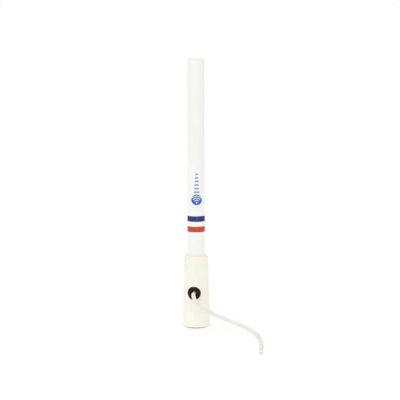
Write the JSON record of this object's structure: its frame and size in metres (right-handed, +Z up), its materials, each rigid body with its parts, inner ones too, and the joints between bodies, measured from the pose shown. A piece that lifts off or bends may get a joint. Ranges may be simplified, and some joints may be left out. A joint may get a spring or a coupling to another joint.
{
  "type": "omnidirectional antenna",
  "caption": "Upright omnidirectional antenna: slim white tubular radome with two coloured bands, standing in a tapered ferrule with a threaded base and a flexible coaxial lead.",
  "frame": {"origin": "centre of the seating face, on the antenna's axis, where the mounting thread begins", "axes": "+Z up the antenna's axis; -Y the way the lead leaves the ferrule; +X completes the right-handed frame, the side the lead runs off to"},
  "size_m": [0.1172, 0.1246, 0.348],
  "materials": {
    "nylon_ivory": "satin moulded nylon, slightly yellowed",
    "brass_insert": "machined, lightly tarnished",
    "rubber_dark": "soft matt rubber, very dark brown",
    "fibreglass_white": "satin white lacquer over fibreglass",
    "cap_white": "satin white",
    "film_navy": "printed film, satin",
    "film_red": "printed film, satin",
    "film_blue": "printed film, satin",
    "film_light_blue": "printed film, satin",
    "cable_jacket": "smooth soft PVC",
    "tinned_braid": "woven tinned copper",
    "dielectric": "translucent polyethylene",
    "copper": "bare copper",
    "plug_nylon": "moulded nylon",
    "brass_part": "drawn brass",
    "ptfe": "machined PTFE",
    "foam": "closed-cell foam"
  },
  "bodies": {
    "antenna": {"ferrule": "nylon_ivory", "thread_insert": "brass_insert", "cable_grommet": "rubber_dark", "radome_tube": "fibreglass_white", "tip_cap": "cap_white", "blue_band": "film_navy", "red_band": "film_red", "emblem_disc": "film_blue", "emblem_bars": "film_light_blue", "coax_jacket": "cable_jacket", "coax_braid": "tinned_braid", "coax_dielectric": "dielectric", "coax_conductor": "copper", "base_plug": "plug_nylon", "crimp_ring": "brass_part", "choke_sleeve": "brass_part", "lower_radiator": "brass_part", "middle_radiator": "brass_part", "upper_radiator": "brass_part", "feed_insulator": "ptfe", "lower_coil_former": "ptfe", "upper_coil_former": "ptfe", "lower_phasing_coil": "copper", "upper_phasing_coil": "copper", "lower_spacer": "foam", "middle_spacer": "foam", "upper_spacer": "foam", "tip_pad": "foam"},
    "lead_near": {"lead_near": "cable_jacket"},
    "lead_middle": {"lead_middle": "cable_jacket"},
    "lead_tail": {"lead_tail": "cable_jacket", "lead_tail_braid": "tinned_braid", "lead_tail_dielectric": "dielectric", "lead_tail_conductor": "copper"}
  },
  "joints": [
    {"name": "lead_swing", "type": "hinge", "parent": "antenna", "child": "lead_near", "pos_m": [0, -0.016, 0.047], "axis": [0, 0, 1], "range_deg": [-35, 20]},
    {"name": "lead_lift", "type": "hinge", "parent": "lead_near", "child": "lead_middle", "pos_m": [0.04497, -0.02009, 0.01473], "axis": [-0.0349, -0.9994, 0], "range_deg": [0, 35]},
    {"name": "lead_bend", "type": "hinge", "parent": "lead_middle", "child": "lead_tail", "pos_m": [0.08779, -0.04685, 0.0025], "axis": [0, 0, 1], "range_deg": [-35, 35]}
  ]
}
